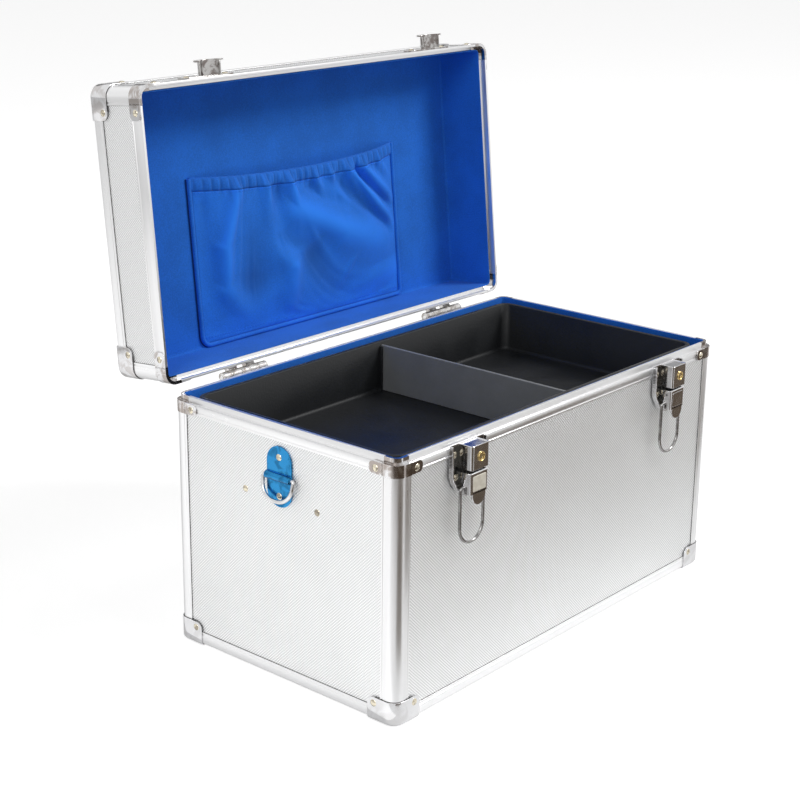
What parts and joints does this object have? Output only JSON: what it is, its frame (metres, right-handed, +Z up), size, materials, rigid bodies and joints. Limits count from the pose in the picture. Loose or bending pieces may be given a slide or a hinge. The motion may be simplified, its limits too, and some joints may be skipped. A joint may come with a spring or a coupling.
{
  "type": "aluminium medicine box",
  "caption": "Aluminium-framed medicine box with a hinged lid, divided lift-out tray, toggle latches, strap rings, a lid pocket and a carrying handle.",
  "frame": {"origin": "on the floor under the middle of the base", "axes": "+X to the right along the front, the latches face -Y, +Z up; the lid is drawn open"},
  "size_m": [0.4226, 0.3267, 0.4448],
  "materials": {
    "embossed_board": "silver sheet with a fine diagonal emboss",
    "frame_aluminium": "satin extrusion",
    "pressed_chrome": "bright plated pressings",
    "rivet_steel": "bright domed heads",
    "lining_cloth": "blue brushed cloth",
    "band_cloth": "blue gathered elastic",
    "tray_plastic": "black moulded plastic, lightly grained",
    "lock_brass": "turned brass",
    "blue_metal": "bright blue anodised",
    "grip_plastic": "black moulded grip"
  },
  "bodies": {
    "base": {"base_bottom_panel": "embossed_board", "base_front_panel": "embossed_board", "base_rear_panel": "embossed_board", "base_left_panel": "embossed_board", "base_right_panel": "embossed_board", "base_post_front_left": "frame_aluminium", "base_post_front_right": "frame_aluminium", "base_post_rear_left": "frame_aluminium", "base_post_rear_right": "frame_aluminium", "base_foot_rails": "frame_aluminium", "base_rim_front": "frame_aluminium", "base_rim_rear": "frame_aluminium", "base_rim_left": "frame_aluminium", "base_rim_right": "frame_aluminium", "base_corner_caps": "pressed_chrome", "base_rim_corners": "pressed_chrome", "base_rivets": "rivet_steel", "base_lining": "lining_cloth", "tray_supports": "frame_aluminium", "latch_plate_left": "pressed_chrome", "latch_plate_right": "pressed_chrome", "latch_pins": "pressed_chrome", "strap_bracket_left": "blue_metal", "strap_bracket_right": "blue_metal", "hinge_base_leaf_left": "frame_aluminium", "hinge_base_leaf_right": "frame_aluminium", "hinge_pins": "pressed_chrome"},
    "lid": {"lid_top_panel": "embossed_board", "lid_front_panel": "embossed_board", "lid_rear_panel": "embossed_board", "lid_left_panel": "embossed_board", "lid_right_panel": "embossed_board", "lid_posts": "frame_aluminium", "lid_top_rails": "frame_aluminium", "lid_rims": "frame_aluminium", "lid_corner_caps": "pressed_chrome", "lid_rim_corners": "pressed_chrome", "lid_rivets": "rivet_steel", "lid_lining": "lining_cloth", "lid_pocket": "lining_cloth", "pocket_band": "band_cloth", "keeper_left": "pressed_chrome", "keeper_right": "pressed_chrome", "handle_brackets": "pressed_chrome", "hinge_lid_leaf_left": "frame_aluminium", "hinge_lid_leaf_right": "frame_aluminium"},
    "handle": {"handle_bail": "pressed_chrome", "handle_grip": "grip_plastic"},
    "lever_left": {"latch_lever_left": "pressed_chrome"},
    "lever_right": {"latch_lever_right": "pressed_chrome"},
    "bail_left": {"latch_bail_left": "pressed_chrome"},
    "bail_right": {"latch_bail_right": "pressed_chrome"},
    "key_left": {"lock_cylinder_left": "lock_brass"},
    "key_right": {"lock_cylinder_right": "lock_brass"},
    "ring_left": {"strap_ring_left": "pressed_chrome"},
    "ring_right": {"strap_ring_right": "pressed_chrome"},
    "tray": {"tray": "tray_plastic", "tray_divider": "tray_plastic"}
  },
  "joints": [
    {"name": "lid_hinge", "type": "hinge", "parent": "base", "child": "lid", "pos_m": [0, 0.1195, 0.2005], "axis": [1, 0, 0], "range_deg": [0, 95.5]},
    {"name": "handle_swing", "type": "hinge", "parent": "lid", "child": "handle", "pos_m": [0, 0.18749, 0.31401], "axis": [1, 0, 0], "range_deg": [0, 158.75]},
    {"name": "lever_left_swing", "type": "hinge", "parent": "base", "child": "lever_left", "pos_m": [-0.131, -0.1215, 0.1755], "axis": [-1, 0, 0], "range_deg": [0, 95]},
    {"name": "bail_left_swing", "type": "hinge", "parent": "lever_left", "child": "bail_left", "pos_m": [-0.131, -0.1195, 0.1675], "axis": [1, 0, 0], "range_deg": [-180, 0]},
    {"name": "key_left_turn", "type": "hinge", "parent": "base", "child": "key_left", "pos_m": [-0.131, -0.127, 0.1908], "axis": [0, 1, 0], "range_deg": [0, 90]},
    {"name": "ring_left_swing", "type": "hinge", "parent": "base", "child": "ring_left", "pos_m": [-0.2061, 0, 0.1635], "axis": [0, 1, 0], "range_deg": [0, 156]},
    {"name": "lever_right_swing", "type": "hinge", "parent": "base", "child": "lever_right", "pos_m": [0.131, -0.1215, 0.1755], "axis": [-1, 0, 0], "range_deg": [0, 95]},
    {"name": "bail_right_swing", "type": "hinge", "parent": "lever_right", "child": "bail_right", "pos_m": [0.131, -0.1195, 0.1675], "axis": [1, 0, 0], "range_deg": [-180, 0]},
    {"name": "key_right_turn", "type": "hinge", "parent": "base", "child": "key_right", "pos_m": [0.131, -0.127, 0.1908], "axis": [0, 1, 0], "range_deg": [0, 90]},
    {"name": "ring_right_swing", "type": "hinge", "parent": "base", "child": "ring_right", "pos_m": [0.2061, 0, 0.1635], "axis": [0, -1, 0], "range_deg": [0, 156]},
    {"name": "tray_lift", "type": "slide", "parent": "base", "child": "tray", "axis": [0, 0, -1], "range_m": [-0.12, 0]}
  ]
}
